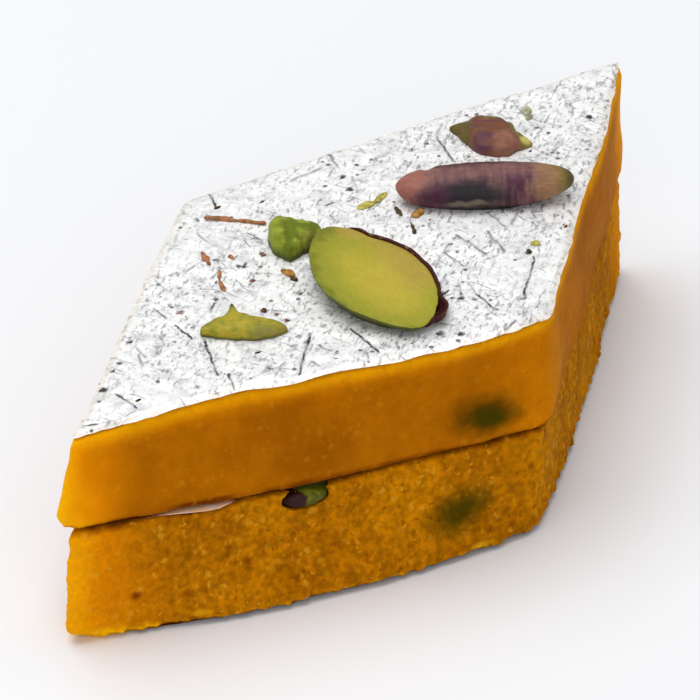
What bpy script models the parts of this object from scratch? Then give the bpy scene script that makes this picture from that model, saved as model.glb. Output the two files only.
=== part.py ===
"""Barfi: two diamond-cut pieces, one laid on the other, with silver leaf and pistachios.

Metres, +Z up. The lower piece stands on Z = 0, the long diagonal lies along X,
and the origin is on the ground under the middle of the stack.
"""
import math

import bmesh
import bpy
from mathutils import Matrix, Vector, noise

MM = 0.001

# Driving dimensions of the two cut pieces.
HALF_LENGTH = 35.9 * MM        # middle to either pointed tip, before it is rounded
HALF_WIDTH = 17.5 * MM         # middle to either blunt corner
LOWER_HEIGHT = 10.6 * MM       # lower piece, at its outer tip
UPPER_HEIGHT = 8.1 * MM        # upper piece, at its outer tip
LOWER_RISE = -0.4 * MM         # from the outer to the inner tip, along the lower top
TOP_RISE = 1.1 * MM            # and along the upper top
SEAM_SAG = 0.5 * MM            # dip of the lower piece's top in the middle
SEAM_FALL = 1.1 * MM           # how far that top falls to the front corner

# Clear spaces and the silver leaf.
GAP = 0.3 * MM                 # round a nut that is bedded in another piece
LEAF_GAP = 0.2 * MM            # under and over a sheet of silver leaf
LEAF_THICKNESS = 0.15 * MM
LEAF_RAGGED = 0.35 * MM        # how far the edge of a leaf wanders
LEAF_INSET = 0.15 * MM

# The corners, edges and waver that the knife leaves.
CORNER_ROUND = 1.5 * MM        # how far along each side a corner starts to turn
EDGE_SOFT = 0.25 * MM          # rounding of a cut edge
FOOT_SOFT = 0.9 * MM           # rounding of the crumbling bottom edge
SEAM_BULGE = 0.7 * MM          # how far the front face swells where the pieces meet
FOOT_BULGE = 1.7 * MM          # and at the ground, halfway between its corners
SIDE_SHARES = (1.0, 0.4, 0.5, 0.4)    # of that swelling, for each face in turn
FRONT_WAVE = 0.9 * MM          # the knife's curve along the top of the front face
WAVER = 0.5 * MM               # slow waviness of the cut faces
WAVER_PITCH = 9.0 * MM
CRUMB = 0.16 * MM              # fine unevenness of the cut faces
CRUMB_PITCH = 1.7 * MM
NOISE_SEED = 313               # without one, noise_vector differs from run to run
TOP_WAVE = 0.12 * MM           # slow waves of the top surface
TOP_WAVE_PITCH = (6.0 * MM, 5.0 * MM)

# Mesh fineness.
CELLS = 20                     # squares along each side of a piece
CROWDING = 0.45                # how much the squares close up near the corners

# The corners in order round a piece: outer tip, front, inner tip, back.
TIP_OFFSET = 2.0 * MM          # both pointed tips lie this far behind the middle
MIDDLE_SHIFT = 0.8 * MM        # centres the stack over the origin
OUTER_TIP_SHIFT = Vector((-0.25 * MM, 0.35 * MM))
CORNERS = (
    Vector((-HALF_LENGTH + MIDDLE_SHIFT, TIP_OFFSET)) + OUTER_TIP_SHIFT,
    Vector((1.2 * MM + MIDDLE_SHIFT, -HALF_WIDTH)),
    Vector((HALF_LENGTH + MIDDLE_SHIFT, TIP_OFFSET)),
    Vector((-3.6 * MM + MIDDLE_SHIFT, HALF_WIDTH)),
)
# How far, in millimetres, the corners of the other outlines lie from these.
UPPER_FOOT_SHIFT = ((-1.8, 0.9), (-0.1, 0.1), (0.0, 0.0), (-0.3, 0.0))
LOWER_TOP_SHIFT = ((-0.9, 0.0), (-0.7, 0.5), (-0.6, 0.1), (0.2, -0.5))
LOWER_FOOT_SHIFT = ((-1.5, 0.4), (-1.3, 0.1), (-0.2, 0.0), (0.0, -0.2))

# The cut faces from foot to top, as (share of the height, inset).
LOWER_LEVELS = (
    (0.0, FOOT_SOFT), (0.03, 0.4 * FOOT_SOFT), (0.09, 0.1 * FOOT_SOFT), (0.25, 0.0),
    (0.42, 0.0), (0.6, 0.0), (0.78, 0.0), (0.96, 0.2 * EDGE_SOFT), (1.0, EDGE_SOFT),
)
UPPER_LEVELS = (
    (0.0, EDGE_SOFT), (0.04, 0.2 * EDGE_SOFT), (0.2, 0.0), (0.38, 0.0),
    (0.56, 0.0), (0.75, 0.0), (0.93, 0.2 * EDGE_SOFT), (1.0, 1.2 * EDGE_SOFT),
)

# The pistachio pieces on top: place, turn, size (length, width, height) and
# the depth of the dip that each is pressed into.
HALF = {
    "at": (-3.85 * MM, -3.55 * MM), "yaw": math.radians(-112),
    "size": (15.6 * MM, 9.2 * MM, 3.0 * MM), "dip": 0.9 * MM,
}
DARK = {
    "at": (12.2 * MM, -2.4 * MM), "yaw": math.radians(-48),
    "size": (14.4 * MM, 4.6 * MM, 3.1 * MM), "dip": 0.3 * MM,
}
GREEN_CHIP = {
    "at": (-2.55 * MM, 6.25 * MM), "yaw": math.radians(28),
    "size": (5.2 * MM, 3.7 * MM, 1.9 * MM), "dip": 0.3 * MM,
}
BROWN_CHIP = {
    "at": (19.7 * MM, 2.9 * MM), "yaw": math.radians(-50),
    "size": (6.2 * MM, 4.2 * MM, 2.1 * MM), "dip": 0.3 * MM,
}
SLIVER = {
    "at": (-14.95 * MM, 0.65 * MM), "yaw": math.radians(-50),
    "size": (6.9 * MM, 3.2 * MM, 1.9 * MM), "dip": 0.2 * MM,
}
BEDDED = (HALF, DARK, GREEN_CHIP, BROWN_CHIP, SLIVER)
BED_FALL = 6.0                 # how steeply the edge of a dip rises

HALF_TILT = math.radians(-4)   # the half's cut face leans to the front
HALF_PITCH = math.radians(3)   # and down towards its lower end

# The nut between the two pieces, cut through where it meets the front face.
SEAM_NUT_ALONG = 21.0 * MM     # from the outer tip, along the front face
SEAM_NUT_SIZE = (5.3 * MM, 6.4 * MM, 1.8 * MM)
SEAM_NUT_DEPTH = 2.6 * MM      # of its middle, behind the face
SEAM_NUT_PROUD = 0.15 * MM     # how far its cut end stands out of the face


# Shared surfaces

def moved_corners(shifts):
    """The corners of an outline, each moved by its own shift in millimetres."""
    return [corner + Vector(shift) * MM for corner, shift in zip(CORNERS, shifts)]


UPPER_FOOT = moved_corners(UPPER_FOOT_SHIFT)
LOWER_TOP = moved_corners(LOWER_TOP_SHIFT)
LOWER_FOOT = moved_corners(LOWER_FOOT_SHIFT)


def turned(x, y, angle):
    return (x * math.cos(angle) - y * math.sin(angle),
            x * math.sin(angle) + y * math.cos(angle))


def ground(x, y):
    return 0.0


def rise_at(x):
    """0 at the outer tip to 1 at the inner tip, rising fastest near the outer tip."""
    return 1 - ((HALF_LENGTH - x) / (2 * HALF_LENGTH)) ** 2


def lower_top(x, y):
    """The lower piece's top, which dips in the middle and falls to the front."""
    sag = (1 - (x / HALF_LENGTH) ** 2) * (1 - (y / HALF_WIDTH) ** 2)
    fall = max(0.0, -y / HALF_WIDTH - 0.1) / 0.9
    return LOWER_HEIGHT + LOWER_RISE * rise_at(x) - SEAM_SAG * sag - SEAM_FALL * fall


def upper_foot(x, y):
    """The upper piece's underside, just over the leaf between the pieces."""
    return lower_top(x, y) + 2 * LEAF_GAP + LEAF_THICKNESS


def bed_depth(x, y, nut):
    """1 under the middle of a nut, falling smoothly to 0 round its footprint."""
    along, across = turned(x - nut["at"][0], y - nut["at"][1], -nut["yaw"])
    reach = (along / nut["size"][0]) ** 2 + (across / nut["size"][1]) ** 2
    return math.exp(-BED_FALL * reach)


def upper_top(x, y):
    """The upper piece's top: a rise, slow waves and a dip under each nut."""
    height = LOWER_HEIGHT + 2 * LEAF_GAP + LEAF_THICKNESS + UPPER_HEIGHT
    height += TOP_RISE * rise_at(x)
    height += TOP_WAVE * math.sin(x / TOP_WAVE_PITCH[0]) * math.cos(y / TOP_WAVE_PITCH[1])
    return height - sum(nut["dip"] * bed_depth(x, y, nut) for nut in BEDDED)


def leaf_top(x, y):
    """The upper side of the leaf that covers the top."""
    return upper_top(x, y) + LEAF_GAP + LEAF_THICKNESS


# Tools for every piece

def new_material(name, colour, roughness, metallic=0.0):
    material = bpy.data.materials.new(name)
    material.use_nodes = True
    shader = material.node_tree.nodes["Principled BSDF"]
    shader.inputs["Base Color"].default_value = (*colour, 1.0)
    shader.inputs["Roughness"].default_value = roughness
    shader.inputs["Metallic"].default_value = metallic
    return material


def finish(bm, name, material):
    """Turn a bmesh into a named object with its material."""
    bmesh.ops.recalc_face_normals(bm, faces=bm.faces)
    mesh = bpy.data.meshes.new(name)
    bm.to_mesh(mesh)
    bm.free()
    mesh.shade_smooth()
    mesh.set_sharp_from_angle(angle=math.radians(40))
    mesh.materials.append(material)
    thing = bpy.data.objects.new(name, mesh)
    bpy.context.scene.collection.objects.link(thing)
    return thing


def crowd(t):
    """Move 0..1 towards its nearer end, so that the squares are smaller at the corners."""
    eased = 0.5 - 0.5 * math.cos(math.pi * t)
    return t + (eased - t) * CROWDING


def outline_point(corners, u, v, inset, bulge, wave):
    """A point at u, v of a four-cornered outline that is drawn in all round by inset,
    with its corners rounded and its sides swelling out by bulge halfway along.
    The front side also curves in and then out, by wave."""
    outer, front, inner, back = corners
    side = (front - outer).length
    margin = inset / side
    u = margin + (1 - 2 * margin) * u
    v = margin + (1 - 2 * margin) * v
    point = (outer * (1 - u) * (1 - v) + front * u * (1 - v)
             + inner * u * v + back * (1 - u) * v)
    away = (u + v, 1 - u + v, 2 - u - v, 1 + u - v)
    sides = ((u, 1 - v), (v, u), (1 - u, v), (1 - v, 1 - u))
    for corner, (along, near) in enumerate(sides):
        out = bulge * SIDE_SHARES[corner] * 4 * along * (1 - along)
        if corner == 0:
            out -= wave * math.sin(2 * math.pi * along)
        to_next = (corners[(corner + 1) % 4] - corners[corner]).normalized()
        point = point + Vector((to_next.y, -to_next.x)) * out * near ** 3
    for corner in range(4):
        pull = max(0.0, 0.5 - away[corner] * side / (2 * CORNER_ROUND))
        to_next = (corners[(corner + 1) % 4] - corners[corner]).normalized()
        to_last = (corners[corner - 1] - corners[corner]).normalized()
        point = point + (to_next + to_last) * CORNER_ROUND * pull * pull
    return point


def cut_face_waver(point):
    """How far the knife and the crumb move a point sideways."""
    slow = noise.noise_vector(point / WAVER_PITCH) * WAVER
    fine = noise.noise_vector(point / CRUMB_PITCH) * CRUMB
    return Vector((slow.x + fine.x, slow.y + fine.y, 0.0))


def cut_cube(rings):
    """A unit cube cut into CELLS by CELLS squares, with rings of edges up its sides."""
    bm = bmesh.new()
    bmesh.ops.create_cube(bm, size=1.0)
    for axis, cuts in ((2, rings - 2), (0, CELLS - 1), (1, CELLS - 1)):
        if cuts:
            edges = [edge for edge in bm.edges
                     if abs(edge.verts[0].co[axis] - edge.verts[1].co[axis]) > 0.5]
            bmesh.ops.subdivide_edges(bm, edges=edges, cuts=cuts, use_grid_fill=True)
    return bm


def join_underside(bm):
    """Make one face of all the squares on the flat underside."""
    flat = [face for face in bm.faces if all(vert.co.z == -0.5 for vert in face.verts)]
    bmesh.ops.dissolve_faces(bm, faces=flat, use_verts=False)


def diamond(bm, foot, top, foot_height, top_height, bulges, wave, levels):
    """Shape a cut cube between two four-cornered outlines and two height functions."""
    for vert in bm.verts:
        u, v = crowd(vert.co.x + 0.5), crowd(vert.co.y + 0.5)
        share, inset = levels[round((vert.co.z + 0.5) * (len(levels) - 1))]
        corners = [low.lerp(high, share) for low, high in zip(foot, top)]
        bulge = bulges[0] + (bulges[1] - bulges[0]) * share
        x, y = outline_point(corners, u, v, inset, bulge, wave * share)
        low, high = foot_height(x, y), top_height(x, y)
        point = Vector((x, y, low + (high - low) * share))
        vert.co = point + cut_face_waver(point)


# The two pieces of barfi and their silver leaf

def lower_barfi(material):
    bm = cut_cube(len(LOWER_LEVELS))
    join_underside(bm)
    diamond(bm, LOWER_FOOT, LOWER_TOP, ground, lower_top,
            (FOOT_BULGE, SEAM_BULGE), 0.0, LOWER_LEVELS)
    return finish(bm, "lower_barfi", material)


def upper_barfi(material):
    bm = cut_cube(len(UPPER_LEVELS))
    diamond(bm, UPPER_FOOT, CORNERS, upper_foot, upper_top,
            (SEAM_BULGE, 0.0), FRONT_WAVE, UPPER_LEVELS)
    return finish(bm, "upper_barfi", material)


def leaf_sheet(name, material, corners, under, bulge, wave):
    """A thin sheet that lies just over a surface, with a slightly ragged edge."""
    bm = cut_cube(2)
    for vert in bm.verts:
        u, v = crowd(vert.co.x + 0.5), crowd(vert.co.y + 0.5)
        ragged = noise.noise(Vector((u, v, 0.0)) * CELLS / 2) * LEAF_RAGGED
        x, y = outline_point(corners, u, v, LEAF_INSET + ragged, bulge, wave)
        lift = LEAF_GAP + (LEAF_THICKNESS if vert.co.z > 0 else 0.0)
        shift = cut_face_waver(Vector((x, y, under(x, y))))
        vert.co = Vector((x + shift.x, y + shift.y, under(x, y) + lift))
    return finish(bm, name, material)


# The pistachios

def settle(bm, yaw, at):
    """Turn and place a nut, then lower it until it is bedded a gap above the leaf."""
    bm.transform(Matrix.Translation((*at, 0.0)) @ Matrix.Rotation(yaw, 4, "Z"))
    space = min(vert.co.z - leaf_top(vert.co.x, vert.co.y) for vert in bm.verts)
    bm.transform(Matrix.Translation((0.0, 0.0, GAP - space)))


def kernel(size, crown, point):
    """A split kernel along X: a pointed oval rim, crown of the height above it."""
    length, width, height = size
    bm = bmesh.new()
    bmesh.ops.create_uvsphere(bm, u_segments=24, v_segments=10, radius=1.0)
    for vert in bm.verts:
        x, y, z = vert.co
        y *= 1 - point * x * x
        z *= crown if z > 0 else 1 - crown
        vert.co = Vector((x * length / 2, y * width / 2, z * height))
    return bm


def chip(size, seed, squareness=0.65, roughness=0.16):
    """A chopped bit of kernel: a rounded block with uneven sides."""
    bm = bmesh.new()
    bmesh.ops.create_icosphere(bm, subdivisions=3, radius=1.0)
    for vert in bm.verts:
        block = Vector([math.copysign(abs(c) ** squareness, c) for c in vert.co])
        block += noise.noise_vector(vert.co * 1.3 + Vector((seed, 0.0, 0.0))) * roughness
        vert.co = Vector([c * extent / 2 for c, extent in zip(block, size)])
    return bm


def pistachio_half(material):
    bm = kernel(HALF["size"], crown=0.08, point=0.28)
    bm.transform(Matrix.Rotation(HALF_PITCH, 4, "Y") @ Matrix.Rotation(HALF_TILT, 4, "X"))
    settle(bm, HALF["yaw"], HALF["at"])
    return finish(bm, "pistachio_half", material)


def pistachio_dark(material):
    bm = kernel(DARK["size"], crown=0.82, point=-0.15)
    settle(bm, DARK["yaw"], DARK["at"])
    return finish(bm, "pistachio_dark", material)


def pistachio_sliver(material):
    """A shaving with a peak a third of the way along."""
    bm = kernel(SLIVER["size"], crown=0.75, point=0.2)
    for vert in bm.verts:
        along = vert.co.x / SLIVER["size"][0] + 0.12
        vert.co.z *= 0.75 + 0.55 * math.exp(-30 * along * along)
    settle(bm, SLIVER["yaw"], SLIVER["at"])
    return finish(bm, "pistachio_sliver", material)


def pistachio_chip(name, nut, seed, material):
    bm = chip(nut["size"], seed)
    settle(bm, nut["yaw"], nut["at"])
    return finish(bm, name, material)


def seam_nut_place():
    """The middle of the nut in the seam, and the front face's direction."""
    outer, front = LOWER_TOP[0], LOWER_TOP[1]
    along = (front - outer).normalized()
    inward = Vector((-along.y, along.x))
    x, y = outer + along * SEAM_NUT_ALONG + inward * (SEAM_NUT_DEPTH - SEAM_BULGE)
    return Vector((x, y, lower_top(x, y) - SEAM_NUT_SIZE[2] / 2)), along


def seam_nut_body(clear):
    """The nut's rounded body, larger all round by clear."""
    middle, along = seam_nut_place()
    bm = bmesh.new()
    bmesh.ops.create_uvsphere(bm, u_segments=20, v_segments=12, radius=1.0)
    radii = [extent / 2 + clear for extent in SEAM_NUT_SIZE]
    turn = Matrix.Rotation(math.atan2(along.y, along.x), 4, "Z")
    bm.transform(Matrix.Translation(middle) @ turn @ Matrix.Diagonal((*radii, 1.0)))
    return bm


def pistachio_in_seam(material):
    """The nut between the pieces, cut through by the knife at the front face."""
    bm = seam_nut_body(0.0)
    middle, along = seam_nut_place()
    outward = Vector((along.y, -along.x, 0.0))
    bmesh.ops.bisect_plane(
        bm, geom=bm.verts[:] + bm.edges[:] + bm.faces[:],
        plane_co=middle + outward * (SEAM_NUT_DEPTH + SEAM_NUT_PROUD),
        plane_no=outward, clear_outer=True)
    rim = [edge for edge in bm.edges if edge.is_boundary]
    bmesh.ops.holes_fill(bm, edges=rim)
    return finish(bm, "pistachio_in_seam", material)


def bed_seam_nut(piece, material):
    """Cut the nut's pocket out of the lower piece."""
    cutter = finish(seam_nut_body(GAP), "seam_nut_cutter", material)
    cutter.hide_render = True
    cutter.display_type = "WIRE"
    pocket = piece.modifiers.new("seam nut pocket", "BOOLEAN")
    pocket.operation = "DIFFERENCE"
    pocket.solver = "EXACT"
    pocket.object = cutter


def main():
    noise.seed_set(NOISE_SEED)
    for thing in list(bpy.data.objects):
        bpy.data.objects.remove(thing, do_unlink=True)

    barfi = new_material("mango_barfi", (0.52, 0.20, 0.005), 0.55)
    silver = new_material("silver_leaf", (0.85, 0.85, 0.84), 0.35, metallic=0.8)
    flesh = new_material("pistachio_flesh", (0.45, 0.40, 0.04), 0.5)
    green = new_material("pistachio_green", (0.17, 0.23, 0.02), 0.5)
    skin = new_material("pistachio_skin", (0.10, 0.045, 0.05), 0.5)
    brown = new_material("pistachio_brown", (0.24, 0.11, 0.06), 0.55)

    lower = lower_barfi(barfi)
    bed_seam_nut(lower, green)
    leaf_sheet("lower_silver_leaf", silver, LOWER_TOP, lower_top, SEAM_BULGE, 0.0)
    upper_barfi(barfi)
    leaf_sheet("upper_silver_leaf", silver, CORNERS, upper_top, 0.0, FRONT_WAVE)
    pistachio_half(flesh)
    pistachio_dark(skin)
    pistachio_sliver(flesh)
    pistachio_chip("pistachio_green_chip", GREEN_CHIP, 3.0, green)
    pistachio_chip("pistachio_brown_chip", BROWN_CHIP, 8.0, brown)
    pistachio_in_seam(green)


main()
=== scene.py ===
# %% [markdown]
# # Two diamonds of barfi with silver leaf and pistachios
# The part is a milk sweet: one diamond of mango barfi laid on another, a sheet of silver
# leaf on each, and split and chopped pistachios on top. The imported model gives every
# place and size. This script dresses it: each solid gets a finer copy with the grain,
# creases and colours of the real thing.

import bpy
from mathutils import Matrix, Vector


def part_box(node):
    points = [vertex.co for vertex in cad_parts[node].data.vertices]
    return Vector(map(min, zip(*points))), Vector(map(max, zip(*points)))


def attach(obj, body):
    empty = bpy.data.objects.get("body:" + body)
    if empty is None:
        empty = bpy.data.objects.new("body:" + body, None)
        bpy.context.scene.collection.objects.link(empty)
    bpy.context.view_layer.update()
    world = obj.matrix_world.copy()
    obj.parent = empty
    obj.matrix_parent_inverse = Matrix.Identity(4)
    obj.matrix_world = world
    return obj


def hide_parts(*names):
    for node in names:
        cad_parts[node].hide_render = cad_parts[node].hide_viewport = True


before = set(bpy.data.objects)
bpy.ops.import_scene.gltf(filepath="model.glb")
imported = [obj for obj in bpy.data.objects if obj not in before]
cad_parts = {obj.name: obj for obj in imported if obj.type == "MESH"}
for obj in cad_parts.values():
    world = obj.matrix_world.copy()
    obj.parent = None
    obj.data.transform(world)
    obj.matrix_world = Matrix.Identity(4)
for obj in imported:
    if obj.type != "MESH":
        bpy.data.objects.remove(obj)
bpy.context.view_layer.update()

# %% [markdown]
# ## Small helpers
# Blender's operators act on whatever is selected, so a helper first makes one object the
# only selected one. Another applies modifiers, so that the finished piece is a plain mesh.
# Blender counts in metres, while every length in this script is in millimetres: the
# helpers turn one into the other with the factor MM.

# %% Helpers for pieces
import math
from functools import reduce

import bpy
import numpy as np
from mathutils import Matrix, Quaternion, Vector, noise

MM = 0.001


def only(piece):
    """Make one object the active and only selected one."""
    bpy.ops.object.select_all(action="DESELECT")
    piece.select_set(True)
    bpy.context.view_layer.objects.active = piece


def smooth(piece):
    """Shade a piece smooth."""
    only(piece)
    bpy.ops.object.shade_smooth()


def apply_all(piece):
    """Apply every modifier of a piece, from the top of its stack down."""
    only(piece)
    for modifier in list(piece.modifiers):
        bpy.ops.object.modifier_apply(modifier=modifier.name)


def places(piece):
    """Vertex places in mm, as an array of rows."""
    flat = np.zeros(len(piece.data.vertices) * 3)
    piece.data.vertices.foreach_get("co", flat)
    return flat.reshape(-1, 3) / MM


def directions(piece):
    """Vertex normals as an array of rows."""
    flat = np.zeros(len(piece.data.vertices) * 3)
    piece.data.vertices.foreach_get("normal", flat)
    return flat.reshape(-1, 3)


def put_places(piece, rows):
    """Move the vertices to the given places in mm."""
    piece.data.vertices.foreach_set("co", (rows * MM).ravel())
    piece.data.update()


def columns(first, second, third=0):
    """Three columns as an array of rows."""
    return np.column_stack(np.broadcast_arrays(first, second, third))


def push(rows, ways, reach):
    """Move each row sideways along its way, as far as its reach says."""
    rows[:, :2] += ways[:, :2] * reach[:, None]


def store(piece, name, values):
    """Store one number for each vertex as an attribute that a material can read."""
    stored = piece.data.attributes.new(name, "FLOAT", "POINT")
    stored.data.foreach_set("value", values.astype(np.float32))


def box(node):
    """The lowest and the highest corner of a solid in mm."""
    return [np.array(corner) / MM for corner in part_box(node)]


def ease(value, low, high):
    """0 below low, 1 above high and a smooth rise between, for numbers and arrays."""
    t = np.clip((value - low) / (high - low), 0, 1)
    return t * t * (3 - 2 * t)


def bumpy(rows, size, seed=0):
    """Smooth noise of about -1 to 1 at each row, with hills of the given size."""
    shift = Vector((seed, 2 * seed, -seed))
    return np.array([noise.noise(Vector(row) / size + shift) for row in rows])


# %% [markdown]
# ## A finer copy of a solid
# A CAD solid arrives as loose triangles, so a copy is merged first. The copy keeps the
# solid's form exactly, and everything after that is surface detail.

# %% Helpers that copy a solid and change its surface
MERGE = 0.001


def copy_node(node, name):
    """A merged copy of a CAD node as a new piece."""
    piece = bpy.data.objects.new(name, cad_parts[node].data.copy())
    bpy.context.scene.collection.objects.link(piece)
    piece.data.materials.clear()
    only(piece)
    bpy.ops.mesh.customdata_custom_splitnormals_clear()
    bpy.ops.object.mode_set(mode="EDIT")
    bpy.ops.mesh.select_all(action="SELECT")
    bpy.ops.mesh.remove_doubles(threshold=MERGE * MM)
    bpy.ops.mesh.tris_convert_to_quads()
    bpy.ops.mesh.normals_make_consistent(inside=False)
    bpy.ops.object.mode_set(mode="OBJECT")
    return piece


def pick(piece, chosen, kind="VERT"):
    """Enter edit mode with exactly the chosen vertices or faces selected."""
    only(piece)
    bpy.ops.object.mode_set(mode="EDIT")
    bpy.ops.mesh.select_mode(type=kind)
    bpy.ops.mesh.select_all(action="DESELECT")
    bpy.ops.object.mode_set(mode="OBJECT")
    parts = piece.data.vertices if kind == "VERT" else piece.data.polygons
    parts.foreach_set("select", chosen)
    bpy.ops.object.mode_set(mode="EDIT")


def weigh(piece, name, weights):
    """A vertex group with one weight for each vertex."""
    group = piece.vertex_groups.new(name=name)
    levels = np.round(np.clip(weights, 0, 1) * 20).astype(int)
    for level in range(1, 21):
        members = np.flatnonzero(levels == level).tolist()
        if members:
            group.add(members, level / 20, "REPLACE")
    return group.name


def displace(piece, title, kind, size, strength, group="", middle=0.5, **settings):
    """A Displace modifier whose relief comes from one of Blender's own textures."""
    texture = bpy.data.textures.new(title, kind)
    texture.noise_scale = size * MM
    for key, value in settings.items():
        setattr(texture, key, value)
    modifier = piece.modifiers.new(title, "DISPLACE")
    modifier.texture = texture
    modifier.strength = strength * MM
    modifier.mid_level = middle
    modifier.vertex_group = group


def remesh(piece, cell):
    """A Remesh modifier, which gives a piece one even skin of small squares."""
    modifier = piece.modifiers.new("even skin", "REMESH")
    modifier.mode = "VOXEL"
    modifier.voxel_size = cell * MM


def thicken(piece, thickness, offset=-1):
    """A Solidify modifier, which gives an open sheet its thickness."""
    modifier = piece.modifiers.new("thickness", "SOLIDIFY")
    modifier.thickness = thickness * MM
    modifier.offset = offset


# %% [markdown]
# ## The two diamonds of barfi
# Barfi is milk cooked down to a fudge and cut with a knife. The cut faces show a fine
# crumb, and the lower, coarser piece also shows grains and small pits. A Remesh modifier
# gives the copy an even skin of small squares, and Displace modifiers then raise the
# crumb and the grains as real relief. The flat base is left out, so that it stays flat.

# %% Make the barfi pieces
SKIN_CELL = 0.3
CLOSE_UP = 0.17                # how far the pieces grow to close the seam


def barfi_piece(node, name, below, above):
    """A finely meshed diamond that grows a little towards the leaf below and above it."""
    piece = copy_node(node, name)
    low, high = box(node)
    rows = places(piece)
    share = (rows[:, 2] - low[2]) / (high[2] - low[2])
    rows[:, 2] += above * share - below * (1 - share)
    put_places(piece, rows)
    remesh(piece, SKIN_CELL)
    soft = piece.modifiers.new("soft skin", "SMOOTH")
    soft.factor = 0.5
    soft.iterations = 5
    apply_all(piece)
    return piece


def cut_face_weights(piece):
    """1 on the cut faces, 0 on the flat top and base."""
    return 1 - ease(np.abs(directions(piece)[:, 2]), 0.55, 0.9)


upper = barfi_piece("upper_barfi", "barfi_upper", CLOSE_UP, 0)
lower = barfi_piece("lower_barfi", "barfi_lower", 0, CLOSE_UP)
print("vertices:", len(upper.data.vertices), len(lower.data.vertices))

# %% Raise the crumb of the cut faces
cut = weigh(upper, "cut faces", cut_face_weights(upper))
displace(upper, "slow crumb", "CLOUDS", 2.6, 0.12, cut, noise_depth=1)
displace(upper, "fine crumb", "CLOUDS", 0.6, 0.05, cut, noise_depth=2)
apply_all(upper)

cut = weigh(lower, "cut faces", cut_face_weights(lower))
displace(lower, "slow crumb", "CLOUDS", 1.8, 0.22, cut, noise_depth=1)
displace(lower, "grains", "VORONOI", 0.8, -0.22, cut, 0.3)
displace(lower, "fine crumb", "CLOUDS", 0.5, 0.14, cut, noise_depth=2)
apply_all(lower)
print("widths in mm:", [round(float(np.ptp(places(p)[:, 1])), 2) for p in (upper, lower)])

# %% [markdown]
# The knife drags the bottom edge of the lower piece, so crumbs stand out there. Vertices
# near the ground on the cut faces are pushed out along their normals where a fine noise
# is high, which leaves a ragged foot, and the front face flares out a little towards it.
# Below the crumbs the face draws in again, so that a dark line shows under it. The low
# corner of the outer tip is worn round on both pieces.

# %% Crumble the foot
FOOT_HEIGHT, FOOT_CRUMB = 1, 0.38
FLARE_HEIGHT, FLARE = 4.5, 0.75
UNDERCUT_HEIGHT, UNDERCUT = 0.75, 0.4
FRONT_OUT = np.array((-0.465, -0.885))     # the way out of the front face


def round_tip(rows, bottom, start, end, height, depth):
    """Draw in the low corner of the outer tip, from start to end mm out along -X."""
    low = 1 - ease(rows[:, 2] - bottom, 0, height)
    rows[:, 0] += low * ease(-rows[:, 0], start, end) * depth


rows, out, on_cut = places(lower), directions(lower), cut_face_weights(lower)
x, z = rows[:, 0], rows[:, 2]
at_foot = (1 - ease(z, 0.3 * FOOT_HEIGHT, FOOT_HEIGHT)) * on_cut
near = np.flatnonzero(at_foot > 0.02)
lumps = ease(bumpy(rows[near], 0.9, 3), 0.05, 0.5)
rows[near, :2] += out[near, :2] * (lumps * at_foot[near] * FOOT_CRUMB)[:, None]
along_front = ease(x, -30, -20) * (1 - 0.6 * ease(x, -8, 1))
in_front = ease(out[:, :2] @ FRONT_OUT, 0.5, 0.9)
flare = (1 - ease(z, 0.4, FLARE_HEIGHT)) * in_front * along_front
push(rows, out, flare * FLARE)
under = (1 - ease(z, 0.1, UNDERCUT_HEIGHT)) * on_cut * (0.3 + 0.7 * ease(x, -32, -18))
push(rows, out, under * -UNDERCUT)
round_tip(rows, 0, 33.2, 35.6, 1.5, 1.1)
put_places(lower, rows)
print("foot vertices moved:", int((lumps > 0).sum()))

rows = places(upper)
round_tip(rows, rows[rows[:, 0] < -35.5, 2].min(), 34.6, 36.2, 1.6, 0.9)
put_places(upper, rows)

# %% [markdown]
# ## The silver leaf on top
# Edible silver is beaten thinner than a hair, so it creases and has pinholes. The top side
# of the CAD sheet is subdivided until its squares are a quarter of a millimetre, creased
# with Displace modifiers, marked and pierced, and given its thickness last.

# %% Make the sheet on top
LEAF_LEVELS, SEAM_LEVELS = 3, 2
LEAF_THICKNESS, SEAM_THICKNESS = 0.05, 0.06


def leaf_sheet(node, name, levels):
    """The top side of a CAD leaf as a single finely divided sheet."""
    sheet = copy_node(node, name)
    pick(sheet, [face.normal.z < 0.5 for face in sheet.data.polygons], "FACE")
    bpy.ops.mesh.delete(type="FACE")
    bpy.ops.object.mode_set(mode="OBJECT")
    fine = sheet.modifiers.new("fine", "SUBSURF")
    fine.levels = fine.render_levels = levels
    fine.boundary_smooth = "PRESERVE_CORNERS"
    apply_all(sheet)
    return sheet


leaf = leaf_sheet("upper_silver_leaf", "leaf_top", LEAF_LEVELS)
print("leaf squares:", len(leaf.data.polygons))

# %% [markdown]
# The creases are wide, flat-sided ones over slow billows, with a finer crumple that fades
# towards the rim, where the sheet is pressed smooth. The distance of each vertex from its
# nearest rim vertex gives that fade, and later the fold over the edge.

# %% Crease it
def rim_distance(sheet, rows):
    """How far each vertex of an open sheet lies from its nearest rim vertex."""
    uses = {}
    for face in sheet.data.polygons:
        for key in face.edge_keys:
            uses[key] = uses.get(key, 0) + 1
    rim = sorted({vertex for key, count in uses.items() if count == 1 for vertex in key})
    return np.array([np.hypot(*(rows[rim, :2] - row[:2]).T).min() for row in rows])


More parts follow.
